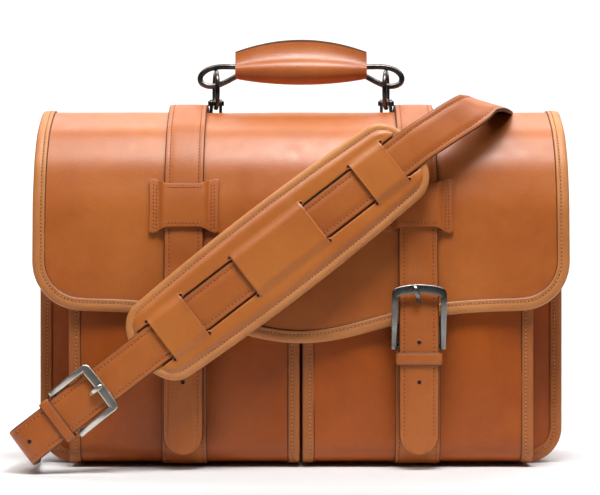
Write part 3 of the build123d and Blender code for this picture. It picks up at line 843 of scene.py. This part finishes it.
def build_pocket(side, sign):
    """One front pocket: bulging skin, bound edges, pleated gussets and the backing strap."""
    low, high = sorted((sign * POCKET_IN, sign * POCKET_OUT))
    skin_profile = pocket_profile(POCKET_Y + 0.2, POCKET_TOP)
    total = skin_profile.total
    rows = []
    for s in [total * t for t in steps(45)]:
        face = smooth((s - 25) / 60) * smooth((total - s - 30) / 70)
        row = []
        for u in spread(40):
            lobes = 3.4 * sin(pi * (u + 1)) ** 2 * smooth((abs(u) - 0.16) / 0.2)
            hollow = 0.3 * sin(3.1 * u + sign) * sin(s / 26)
            x = (low + high) / 2 + u * ((high - low) / 2 - 1.5)
            row.append(skin_profile.place(x, s, (lobes + hollow) * face)[0])
        rows.append(row)
    skin = thick_sheet(f"pocket_skin_{side}", rows, PANEL_LOOKS, 2.3)
    settle(skin, "root", [f"pocket_front_{side}"])

    section = [
        (-5.4, -2.6), (-5.3, 0.12), (-4.6, 0.16), (-4.5, 0.5), (-4.2, 0.8), (-2.2, 0.9), (-1.7, 0.6),
        (-1.2, 0.9), (1.6, 1.0), (3.6, 0.9), (4.5, 0.4), (4.6, -0.8), (4.4, -2.6),
    ]
    lines = []
    for number, (x, way) in enumerate(((low + 4.6, 1), (high - 4.6, -1))):
        spots = [skin_profile.place(x, total * t, 0.25) for t in steps(59)]
        frames = [(place, X * -way, out) for place, out in spots]
        # pocket bindings take the darker binding leather, painted shade
        tape = edge_tape(f"pocket_tape_{side}_{number}", frames, section, "shaded_binding")
        settle(tape, "root", [f"pocket_binding_{side}"])
        lines.append([(place + X * (way * 1.5) + out * 0.9, out) for place, out in spots])
    settle(stitches(f"pocket_stitches_{side}", lines, 3.1), "root")

    for number, (wall, way) in enumerate(((low + 1.4, 1), (high - 1.4, -1))):
        rows = []
        for t in steps(23):
            z = POCKET_TOP - 3 - (POCKET_TOP - 9) * t
            front = POCKET_Y + 2.4 + corner_cut(POCKET_ROLL, z - 4)
            row = []
            for v in steps(12):
                fold = 5.5 * exp(-(((v - 0.55) / 0.22) ** 2)) * smooth((1.02 - t) * 3)
                row.append(Vector((wall + way * fold, front + (FRONT_Y - 2 - front) * v, z)))
            rows.append(row)
        pleat = thick_sheet(f"pocket_pleat_{side}_{number}", rows, ("panel", "flesh", "panel"), 1.8,
                            way < 0, 1)
        settle(pleat, "root", [f"pocket_gusset_{side}"])

    backing = pocket_profile(POCKET_Y - 0.1, 116)
    spots = [backing.place(sign * STRAP_X, backing.total * 0.985 * t) for t in steps(59)]
    frames = [(place, X, out) for place, out in spots]
    strip = strap_body(f"backing_strip_{side}", frames, 18.5, 1.9, 3.6)
    strip.data.flip_normals()
    settle(strip, "root", [f"backing_strap_{side}"])
    lines = [[(place + X * x + out * 1.85, out) for place, out in spots] for x in (-14.9, 14.9)]
    row = stitches(f"backing_stitches_{side}", lines, 3.3, 2.2, 0.3, 0.02, "red_thread")
    settle(row, "root")


def panel_edge(inset, top):
    """Outline of a panel's sides and bottom from upper right to upper left, as 2-D points."""
    half = HALF_WIDTH - inset
    corners = [(half, top), (half, inset), (-half, inset), (-half, top)]
    return filleted(corners, [CORNER_R - inset] * 2, 3.0)


def build_panel(name, y, out, top, node, tape_node, bulge):
    """A main panel with its bound and stitched edge. out is the way it faces along Y."""
    rows = []
    for v in steps(30):
        z = top + (1.2 - top) * v
        reach = HALF_WIDTH - 1.5 - corner_cut(CORNER_R, z)
        swell = bulge * sin(pi * min(1, v * 1.02)) ** 0.8
        rows.append([Vector((u * reach, y + out * (swell * (1 - u ** 4) - 0.1), z)) for u in spread(40)])
    sheet = thick_sheet(name, rows, PANEL_LOOKS, 2.8, out < 0)
    settle(sheet, "root", [node])

    section = [
        (-5, -0.4), (-5, 0.5), (-4.4, 1.1), (-2.2, 1.1), (-1.7, 0.8), (-1.2, 1.1), (1.6, 1.3),
        (4.0, 1.0), (5.0, 0.0), (5.2, -1.5), (4.8, -3.2), (3.6, -3.7), (-4.6, -3.7),
    ]
    frames = []
    for point, step in with_steps(panel_edge(5.4, top)):
        across = Vector((-step.y, 0, step.x)).normalized()
        frames.append((Vector((point.x, y + out * 0.4, point.y)), across, Y * out))
    # the panel's binding takes the darker binding leather, painted shade
    tape = sweep(f"{name}_tape", frames, section, [MAT["shaded_binding"]])
    if out > 0:
        tape.data.flip_normals()
    settle(tape, "root", [tape_node])
    line = [(Vector((p.x, y + out * 1.5, p.y)), Y * out) for p in panel_edge(6.8, top)]
    settle(stitches(f"{name}_stitches", [line], 3.1), "root")


def build_gusset():
    """The strip that makes the bag's sides and bottom, drawn in softly at the sides."""
    outline = filleted(
        [(GUSSET_X, 272), (GUSSET_X, 0.3), (-GUSSET_X, 0.3), (-GUSSET_X, 272)], [25, 25], 6.0
    )
    walk = []
    for a, b in zip(outline, outline[1:]):
        pieces = max(1, int((b - a).length / 9))
        walk += [a.lerp(b, k / pieces) for k in range(pieces)]
    rows = []
    for point in walk + outline[-1:]:
        pull = copysign(4.2, -point.x) * smooth((point.y - 30) / 60) * (0.6 + 0.4 * point.y / 272)
        rows.append([
            Vector((point.x + pull * exp(-(((v - 0.5) / 0.16) ** 2)),
                    FRONT_Y + 2.5 + (BACK_Y - FRONT_Y - 7) * v, point.y))
            for v in steps(16)
        ])
    settle(thick_sheet("gusset_sheet", rows, PANEL_LOOKS, 2.6), "root", ["gusset"])


def build_divider():
    """The partition between the two compartments, its cut edges burnished."""
    rows = []
    for t in steps(20):
        z = 257 - 252 * t
        reach = 207.3 - corner_cut(22, z - 3)
        rows.append([Vector((u * reach, 33.9 + 1.2 * sin(3 * u) * sin(pi * t), z)) for u in spread(30)])
    sheet = thick_sheet("divider_sheet", rows, ("flesh", "flesh", "burnished"), 1.8, False)
    settle(sheet, "root", ["divider"])


# ---- handle -----------------------------------------------------------------------------
GRIP_HALF = 56
GRIP_Z = 330
PIN_Z = 302.7
PIVOT_Z = 333.4


def grip_top(x):
    """Height of the grip's sewn upper edge."""
    return 346.6 + 10.4 * (1 - (x / GRIP_HALF) ** 2)


def grip_radius(x):
    """Radius of the grip's round body."""
    return 6.2 + 5.3 * (1 - (x / GRIP_HALF) ** 2) ** 0.9


def build_grip():
    """Leather wrapped round the rope core, both edges sewn together above it."""
    rings = []
    leaf = 2.0
    for x in [GRIP_HALF * u for u in crowded(60)]:
        radius = grip_radius(x)
        top = grip_top(x)
        start = asin(min(0.9, leaf / radius)) + 0.55
        turn = [start + (2 * pi - 2 * start) * t for t in steps(24)]
        body = [(radius * sin(angle), GRIP_Z + radius * cos(angle)) for angle in turn]
        y, z = body[0]
        left = [(leaf + (y - leaf) * (1 - t) ** 2.2 * 0.9, z + (top - z) * t)
                for t in (0.1, 0.25, 0.45, 0.7, 0.9, 0.91, 0.985)]
        ring = [(0, top + 0.25)] + left[::-1] + body + [(-y, z) for y, z in left]
        rings.append([Vector((x, y, z)) for y, z in ring])
    size = len(rings[0])
    flags = [1 if k < 3 or k > size - 4 else 0 for k in range(size)]
    body = loft("grip_leather_wrap", rings, [MAT["grip"], MAT["burnished"]], ring_material=flags)
    body.data.flip_normals()
    ease_edges(body, 0.6, 60)
    bake(body)
    settle(body, "handle", ["handle_grip"])

    lines = []
    for way in (-1, 1):
        lines.append([(Vector((x, way * leaf * 1.04, grip_top(x) - 3.6)), Y * way)
                      for x in [(GRIP_HALF - 3) * u for u in spread(39)]])
        for x in (2.6 - GRIP_HALF, GRIP_HALF - 2.6):
            low = GRIP_Z + grip_radius(x) + 2
            high = grip_top(x) - 4
            lines.append([(Vector((x, way * leaf * 1.05, low + (high - low) * t)), Y * way)
                          for t in steps(8)])
    row = stitches("grip_stitches", lines, 2.8, 1.9, 0.3, 0.02, "red_thread")
    settle(row, "handle")


def build_handle_metal():
    """The handle's end loops, the two rings they hang on and the knuckles on the flap."""
    teardrop = [(46, 333.6), (58, 334.0), (70, 333.9), (79.5, 331.6), (85.4, 326.4), (85.2, 320.6),
                (79.5, 317.6), (72, 317.9), (64, 321.2), (54, 326.4), (46, 329.2)]
    lug = [(292.5, 4.6), (295.5, 4.2), (298, 3.4), (301, 3.3), (304, 3.0), (305.6, 1.9), (306.1, 0.7)]
    pin = [(5.4, 1.75), (5.8, 2.5), (6.6, 2.0), (6.9, 0.8)]
    pin = [(-x, r) for x, r in reversed(pin)] + pin
    middle_z = (PIN_Z + PIVOT_Z) / 2 - 3.95
    half_z = (PIVOT_Z - PIN_Z) / 2
    for side, sign in SIDES.items():
        frames = spline_frames([((sign * x, 0, z), Y) for x, z in teardrop], 10)
        wire = sweep(f"handle_end_loop_{side}", frames, circle(2.4, 16), [MAT["gunmetal"]])
        settle(wire, "handle", ["handle_wire"])

        middle = sign * 72.5
        oval = []
        for up, aside in circle(1, 24):
            y = 12.5 * aside
            z = middle_z + copysign(abs(up) ** 0.8, up) * half_z
            oval.append(Vector((middle + 0.16 * sign * y, y, z)))
        rings = []
        for place, step in with_steps(oval, closed=True):
            across = step.cross(X).normalized()
            aside = step.normalized().cross(across)
            rings.append([place + across * a + aside * b for a, b in circle(1.9, 14)])
        ring = loft(f"handle_oval_ring_{side}", rings, [MAT["gunmetal"]], closed=True)
        settle(ring, f"handle_ring_{LONG[side]}", [f"handle_ring_{side}"])

        for place in (-1, 1):
            stations = [(Vector((middle + place * 4.0, 0, z)), Y, X, wide, 1.35) for z, wide in lug]
            ear = hardware(f"handle_lug_{side}_{place}", stations, "gunmetal")
            settle(ear, "flap", [f"handle_bracket_{side}"])
        stations = [(Vector((middle + x, 0, PIN_Z)), Y, Z, r, r) for x, r in pin]
        settle(hardware(f"handle_pin_{side}", stations, "gunmetal"), "flap")


# ---- shoulder strap ---------------------------------------------------------------------
def on_sling(s, t, w):
    """Point over the strap's front plane: s along it, t across it, w out from its rear face."""
    return SLING_MID + sling_x * s + sling_y * t + sling_z * w


def stitched_ribbon(name, frames, bare=0):
    """A run of the shoulder strap and its two rows of stitches; the last bare frames have none."""
    body = strap_body(name, frames, STRAP_HALF, STRAP_THICK, STITCH_IN, caps=False)
    body.data.flip_normals()
    lines = [
        [(place + across * t + out * (STRAP_THICK - 0.1), out)
         for place, across, out in frames[:len(frames) - bare]]
        for t in (STITCH_IN - STRAP_HALF, STRAP_HALF - STITCH_IN)
    ]
    return body, stitches(f"{name}_stitches", lines, 3.3, 2.2, 0.32, 0.04, "red_thread")


def between(upper, lower):
    """A strap control from a point on each of its edges."""
    upper = Vector(upper)
    lower = Vector(lower)
    return (upper + lower) / 2, (upper - lower).normalized()


def build_shoulder_strap():
    """The strap: left run, fold, diagonal front, over the top, down the back to the right ring."""
    left = [
        ((-218.5, 20, 180), (0, -1, 0)),
        ((-217.5, 19, 140), (0, -1, 0)),
        ((-216.5, 14, 92), (0, -1, 0.05)),
        ((-216.5, 4, 54), (0, -0.95, 0.3)),
        ((-217.5, -10, 31), (0, -0.75, 0.66)),
        ((-219.5, -34, 21), (-0.2, -0.3, 0.93)),
        ((-219.5, -70, 19), (-0.5, -0.05, 0.86)),
        (on_sling(-239, 0, -20), sling_y),
        (on_sling(-239, 0, -7), sling_y),
    ]
    left_frames = spline_frames(left, 10)
    fold_radius = 7
    centre = on_sling(-232, 0, -fold_radius)
    for t in steps(12, 1):
        direction = sling_z * sin(pi / 2 * t) - sling_x * cos(pi / 2 * t)
        left_frames.append((centre + direction * fold_radius, sling_y, direction))
    left_frames.append((on_sling(-228, 0, 0), sling_y, sling_z))
    drop = ("root", "flap", (0, -10, 190), (0, -94, 190))
    body, row = stitched_ribbon("shoulder_strap_left_run", left_frames, 2)
    settle_blend(body, "strap_leather", *drop, ["shoulder_strap_side"])
    settle_blend(row, "strap_leather", *drop)

    front = [(on_sling(s, 0, 0), sling_y, sling_z) for s in range(-228, 148, 4)]
    seam = ((179.5, 84, 270), (-0.92, 0.0, -0.38))
    turn = [
        (on_sling(148, 0, 0), sling_y),
        (on_sling(158, 0, -0.4), sling_y),
        between((97.5, -84.3, 284.2), (117.2, -87.5, 259.2)),
        between((111.0, -78.5, 293.8), (131.5, -82.0, 267.8)),
        between((118.0, -75.5, 297.6), (138.0, -79.5, 272.2)),
        between((124.2, -71.5, 300.0), (144.3, -77.0, 277.2)),
        between((130.0, -66.0, 301.4), (150.3, -75.0, 282.6)),
        between((134.4, -57.5, 301.8), (156.7, -72.5, 287.8)),
        between((138.3, -49.5, 301.2), (163.1, -69, 289.8)),
        between((141.2, -41, 300.6), (168, -63, 290.4)),
        between((143.6, -33, 300.2), (170.8, -55.5, 290.4)),
        between((146, -24, 299.7), (172.7, -47, 290.6)),
        between((149.4, -6, 298.6), (175.6, -26, 292)),
        between((151.5, 10, 297.6), (178, -8, 293)),
        between((154, 32, 296), (181, 18, 293.5)),
        between((157, 60, 294.5), (187, 54, 293)),
        ((174, 76, 291), (-0.99, 0.08, -0.12)),
        ((175.5, 82, 283), (-0.96, 0.0, -0.28)),
        seam,
    ]
    over = ("flap", "root", (0, 66, 300), (0, 84, 300))
    body, row = stitched_ribbon("shoulder_strap_main", front + spline_frames(turn, 7))
    settle_blend(body, "strap_leather", *over, ["shoulder_strap_front"])
    settle_blend(row, "strap_leather", *over)

    right = [
        seam,
        ((184.5, 84, 257), (-0.9, 0.0, -0.43)),
        ((191, 84, 245), (-0.82, 0.0, -0.57)),
        ((199, 84, 233.5), (-0.62, 0.0, -0.78)),
        ((207, 84, 226), (-0.33, 0.0, -0.94)),
        ((213.5, 84, 222.8), (-0.05, 0.0, -1)),
        ((218, 82.4, 222), (0, 0, -1)),
        ((219.8, 78, 222), (0, 0, -1)),
        ((219.6, 68, 222), (0, 0, -1)),
        ((219.2, 58, 222), (0, 0, -1)),
    ]
    body, row = stitched_ribbon("shoulder_strap_right_run", spline_frames(right, 6))
    settle(body, "root", ["shoulder_strap_rear"])
    settle(row, "root")

    for name, s in (("upper", -205), ("lower", -232)):
        hole = punched_hole(f"sling_hole_{name}", on_sling(s, 0, STRAP_THICK + 0.28), sling_x, sling_z)
        settle(hole, "flap")


# ---- shoulder pad -----------------------------------------------------------------------
PAD_MID = 15
PAD_HALF = 140
SLIT_HALF = 18.9
PAD_BANDS = [(-116.5, -83.8), (-33.6, 36.8), (86.1, 117.1)]


def pad_half_width(s):
    """Half width of the pad at distance s from its middle, round at the ends."""
    shoulder = PAD_HALF - 26
    bow = 39.5 - 3.5 * (s / shoulder) ** 2
    into = (abs(s) - shoulder) / (PAD_HALF - shoulder)
    if into <= 0:
        return bow
    return bow * max(0.0, 1 - into ** 2.5) ** 0.5


def pad_rim(inset, lift):
    """Frames round the pad's outline, drawn in by inset, outwards across."""
    upper = [PAD_HALF * cos(pi * t) for t in steps(120)[:-1]]
    flat = [(s, pad_half_width(s)) for s in upper]
    flat += [(-s, -t) for s, t in flat]
    frames = []
    for (s, t), step in with_steps(flat, closed=True):
        across = (sling_x * step.x + sling_y * step.y).normalized().cross(sling_z)
        frames.append((on_sling(PAD_MID + s, t, lift) - across * inset, across, sling_z))
    return frames


def cushion(s, t):
    """Height of the foam cushion's leather above the strap's rear face, away from the strap."""
    rim = smooth((pad_half_width(s) - 3 - abs(t)) / 8)
    ends = smooth((PAD_HALF - 2 - abs(s)) / 16)
    return 0.1 + 3.5 * rim * ends + 0.15 * sin(s / 9.0) * rim


def pad_face(s, t):
    """Height of the cushion where the strap lies on it in the windows."""
    trough = 1 - smooth((abs(t) - STRAP_HALF - 0.1) / 1.7)
    return cushion(s, t) * (1 - trough) - 0.9 * trough


def build_pad():
    """Foam pad in a leather case: base, three bridging bands, piped and stitched rim."""
    rows = []
    for s in [(PAD_HALF - 1.5) * u for u in crowded(140, 0.97)]:
        half = pad_half_width(s) - 3.0
        ends = min(1.0, half / 26)
        inner = [t * ends for t in (0, 5, 10, 15.2, 16.1, 16.4, 16.8, 17.2, 17.6, 17.9, 19.4)]
        outer = [inner[-1] + (half - inner[-1]) * t for t in steps(8, 1)]
        columns = [-t for t in reversed(inner[1:] + outer)] + inner + outer
        rows.append([on_sling(PAD_MID + s, t, pad_face(s, t)) for t in columns])
    base = thick_sheet("pad_cushion", rows, ("pad", "flesh", "burnished"), 3.2)
    settle(base, "shoulder_pad", ["pad_base"])

    for number, (start, end) in enumerate(PAD_BANDS):
        rows = []
        for v in steps(40):
            s = start + (end - start) * v
            crown = STRAP_THICK + 2.3 + 0.5 * sin(pi * v)
            row = []
            for t in [26.0 * u for u in spread(48)]:
                over = 1 - smooth((abs(t) - STRAP_HALF + 2.0) / 8.0)
                slit = 1 - smooth((abs(t) - 16.5) / 2.5)
                lip = 0.45 * exp(-min(s - start, end - s) / 2.2) * slit
                height = cushion(s, t) + 0.04 - 0.7 * smooth((abs(t) - 21.5) / 4.0)
                row.append(on_sling(PAD_MID + s, t, height + (crown - height) * over + lip))
            rows.append(row)
        band = thick_sheet(f"pad_band_{number}", rows, ("pad", "pad", "burnished"), 1.7)
        settle(band, "shoulder_pad", ["pad_bands"])
        # Dark dots at the slit ends and dark strips along the slits: painted shadow of the gaps between
        # band and strap
        for end_s, way in ((start, 1), (end, -1)):
            label = f"{number}_{int(end_s)}"
            for t in (-SLIT_HALF, SLIT_HALF):
                spot = on_sling(PAD_MID + end_s - way * 0.6, t, cushion(end_s, t) + 0.15)
                dot = punched_hole(f"pad_slit_end_{label}_{int(t)}", spot, sling_x, sling_z, 1.35)
                settle(dot, "shoulder_pad")
            for sign in (-1, 1):
                rows = [
                    [on_sling(PAD_MID + end_s - way * 0.2 + s, sign * t, pad_face(end_s, t) + 0.12)
                     for s in (-half, half)]
                    for t, half in ((SLIT_HALF, 0.5), (17.9, 0.7), (17.0, 0.8), (16.3, 0.8))
                ]
                slit = grid_sheet(f"pad_slit_{label}_{sign}", rows, [MAT["hole"]])
                settle(slit, "shoulder_pad")

    section = [
        (-5.2, 0.1), (-5.1, 0.9), (-4.6, 1.0), (-4.4, 1.5), (-2.4, 1.7), (-1.8, 1.4), (-1.2, 1.7),
        (1.2, 1.9), (3.2, 1.4), (4.3, 0.3), (4.5, -1.2), (3.8, -2.9), (1.0, -3.8), (-4.4, -3.9),
    ]
    rim = edge_tape("pad_rim_tape", pad_rim(4.4, -0.1), section, "edge", True)
    rim.data.flip_normals()
    settle(rim, "shoulder_pad", ["pad_binding"])
    line = [(place + out * 1.45, out) for place, _, out in pad_rim(6.0, 0.0)]
    settle(stitches("pad_rim_stitches", [line + line[:1]], 3.0), "shoulder_pad")


# ---- side tabs and the strap's end loops ------------------------------------------------
TAB_PLACES = {"l": (20, 236, (0.0, -1.0)), "r": (8, 222, (1.0, 0.0))}
RING_OUT = 9
TAB_REACH = 24
RING_SPAN = 20


def build_side_fittings(side, sign):
    """A side tab folded round its ring, and the strap's end looped through the ring."""
    rivet_y, rivet_z, (dir_y, dir_z) = TAB_PLACES[side]
    along = Vector((0, dir_y, dir_z)).normalized()
    out = X * sign
    across = out.cross(along)
    origin = Vector((sign * GUSSET_X, rivet_y, rivet_z))

    def at(u, w):
        return origin + along * u + out * w

    def strip(name, path, half, thick):
        frames = []
        for (u, w), step in with_steps(path):
            tangent = along * step.x + out * step.y
            frames.append((at(u, w), across, across.cross(tangent).normalized()))
        return strap_body(name, frames, half, thick, None, -thick / 2, 0.05)

    radius = 3.15
    path = [(-12, 1.2), (-4, 1.2), (4, 1.3), (11, 2.2), (18, 4.6)]
    path += [(TAB_REACH + radius * sin(pi * t), RING_OUT - radius * cos(pi * t)) for t in steps(12)]
    path += [(18, 10.6), (11, 7.6), (4, 5.4), (-4, 4.9), (-12, 4.9)]
    tab = strip(f"side_tab_fold_{side}", path, 12, 2.0)
    settle(tab, "root", [f"side_tab_{side}"])

    far = TAB_REACH + RING_SPAN
    radius = 4.9
    turn = [pi * (0.12 + 0.76 * t) for t in steps(14)]
    path = [(far + 22, RING_OUT + 1.6), (far + 15, RING_OUT + 2.0), (far + 9, RING_OUT + 3.4)]
    path += [(far - radius * sin(a), RING_OUT + radius * cos(a)) for a in turn]
    path += [(far + 9, RING_OUT - 2.9), (far + 15, RING_OUT - 1.2), (far + 22, RING_OUT - 1.2)]
    loop = strip(f"strap_end_loop_{side}", path, 15.5, 2.2)
    run = "shoulder_strap_side" if side == "l" else "shoulder_strap_rear"
    held, free = (tuple(at(far + reach, RING_OUT)) for reach in (5, 21))
    settle_blend(loop, "strap_leather", f"side_ring_{LONG[side]}", "root", held, free, [run])


# ---- metal, which keeps its CAD shape ---------------------------------------------------
def dress(node, material):
    """Give a CAD node that keeps its shape its real material."""
    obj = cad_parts[node]
    obj.data.materials.clear()
    obj.data.materials.append(MAT[material])


def build_all():
    """Every visible piece."""
    build_flap()
    for side, sign in SIDES.items():
        build_closure_strap(side, sign)
        build_keeper(side, sign)
        build_pocket(side, sign)
        build_side_fittings(side, sign)
        build_loop(f"strap_loop_{side}", buckles[side], 5, 15.5, -1.3, f"keeper_loop_{side}")
        build_chape(f"chape_fold_{side}", buckles[side], -36, -4.2, -0.6, f"buckle_chape_{side}")
        build_buckle(f"strap_buckle_{side}", buckles[side], 50, 3, 3.8, 3.5,
                     (f"buckle_{LONG[side]}", f"prong_{LONG[side]}"),
                     (f"buckle_frame_{side}", f"buckle_prong_{side}"), "steel")
    build_buckle("sling_buckle_cast", buckles["sling"], 37, 0.6, 2.5, 0, ("sling_buckle", "sling_prong"),
                 ("strap_buckle_frame", "strap_buckle_prong"), "nickel")
    build_loop("sling_loop", buckles["sling"], 5, 14, -0.9, "strap_keeper_loop")
    build_chape("sling_chape_fold", buckles["sling"], -40, -0.4, 3.4, "strap_buckle_chape")
    build_panel("front_sheet", FRONT_Y, -1, 270, "front_panel", "front_binding", 0.8)
    build_panel("back_sheet", BACK_Y - 1.5, 1, 283, "back_panel", "back_binding", 2.2)
    build_gusset()
    build_divider()
    build_grip()
    build_handle_metal()
    build_shoulder_strap()
    build_pad()
    for node in ("side_ring_l", "side_ring_r"):
        dress(node, "gunmetal")
    for node in ("snap_sockets", "snap_studs", "tab_rivets"):
        dress(node, "nickel")
    dress("handle_core", "rope")


# ---- floor, light and camera ------------------------------------------------------------
def build_studio():
    """A pale sweep of floor and backdrop, the softboxes and the camera."""
    half_width = 5.0
    bend_y, bend_radius = 1.2, 0.8
    path = [(-5.0, 0.0), (bend_y, 0.0)]
    path += [(bend_y + bend_radius * sin(pi / 2 * t), bend_radius * (1 - cos(pi / 2 * t)))
             for t in steps(16, 1)]
    path.append((2.0, 3.2))
    rows = [[Vector((x, y, z)) / MM for x in (-half_width, half_width)] for y, z in path]
    look = Look("pale_floor")
    depth = look.node("SeparateXYZ", Vector=look.where).outputs["Y"]
    near = look.node("MapRange", Value=depth, From_Min=-0.3, From_Max=-0.18).outputs["Result"]
    grey, pale = (0.36, 0.36, 0.36, 1), (0.84, 0.84, 0.84, 1)
    floor = grid_sheet("studio_floor", rows,
                       [look.shade(Base_Color=look.ramp(near, grey, pale), Roughness=0.6)])

    def softbox(name, place, target, size_x, size_y, power):
        data = bpy.data.lights.new(name, "AREA")
        data.shape = "RECTANGLE"
        data.size = size_x
        data.size_y = size_y
        data.energy = power
        obj = bpy.data.objects.new(name, data)
        bpy.context.collection.objects.link(obj)
        obj.location = place
        obj.rotation_euler = (Vector(target) - Vector(place)).to_track_quat("-Z", "Y").to_euler()

    softbox("overhead", (0.06, -0.5, 1.35), (0.03, -0.05, 0.2), 1.8, 0.4, 18)
    softbox("key", (0.1, -0.72, 1.5), (0, -0.05, 0.15), 0.4, 0.4, 12)
    softbox("front_fill", (-0.9, -1.9, 0.9), (0, 0, 0.15), 1.2, 1.2, 0.3)
    softbox("backdrop_light", (0, 1.0, 2.2), (0, 1.6, 0.6), 3.0, 1.0, 60)

    world = bpy.data.worlds.new("studio")
    bpy.context.scene.world = world
    world.use_nodes = True
    world.node_tree.nodes["Background"].inputs["Color"].default_value = (1, 1, 1, 1)
    world.node_tree.nodes["Background"].inputs["Strength"].default_value = 0.05
    bpy.context.scene.view_settings.view_transform = "Standard"

    lens = bpy.data.cameras.new("camera")
    lens.lens = 104.04
    lens.sensor_width = 36
    lens.shift_x = -0.0017
    lens.shift_y = 0.0152
    camera = bpy.data.objects.new("camera", lens)
    camera.location = (0, -1.48, 0.172)
    camera.rotation_euler = (pi / 2, 0, 0)
    bpy.context.collection.objects.link(camera)
    bpy.context.scene.camera = camera


build_studio()
build_all()
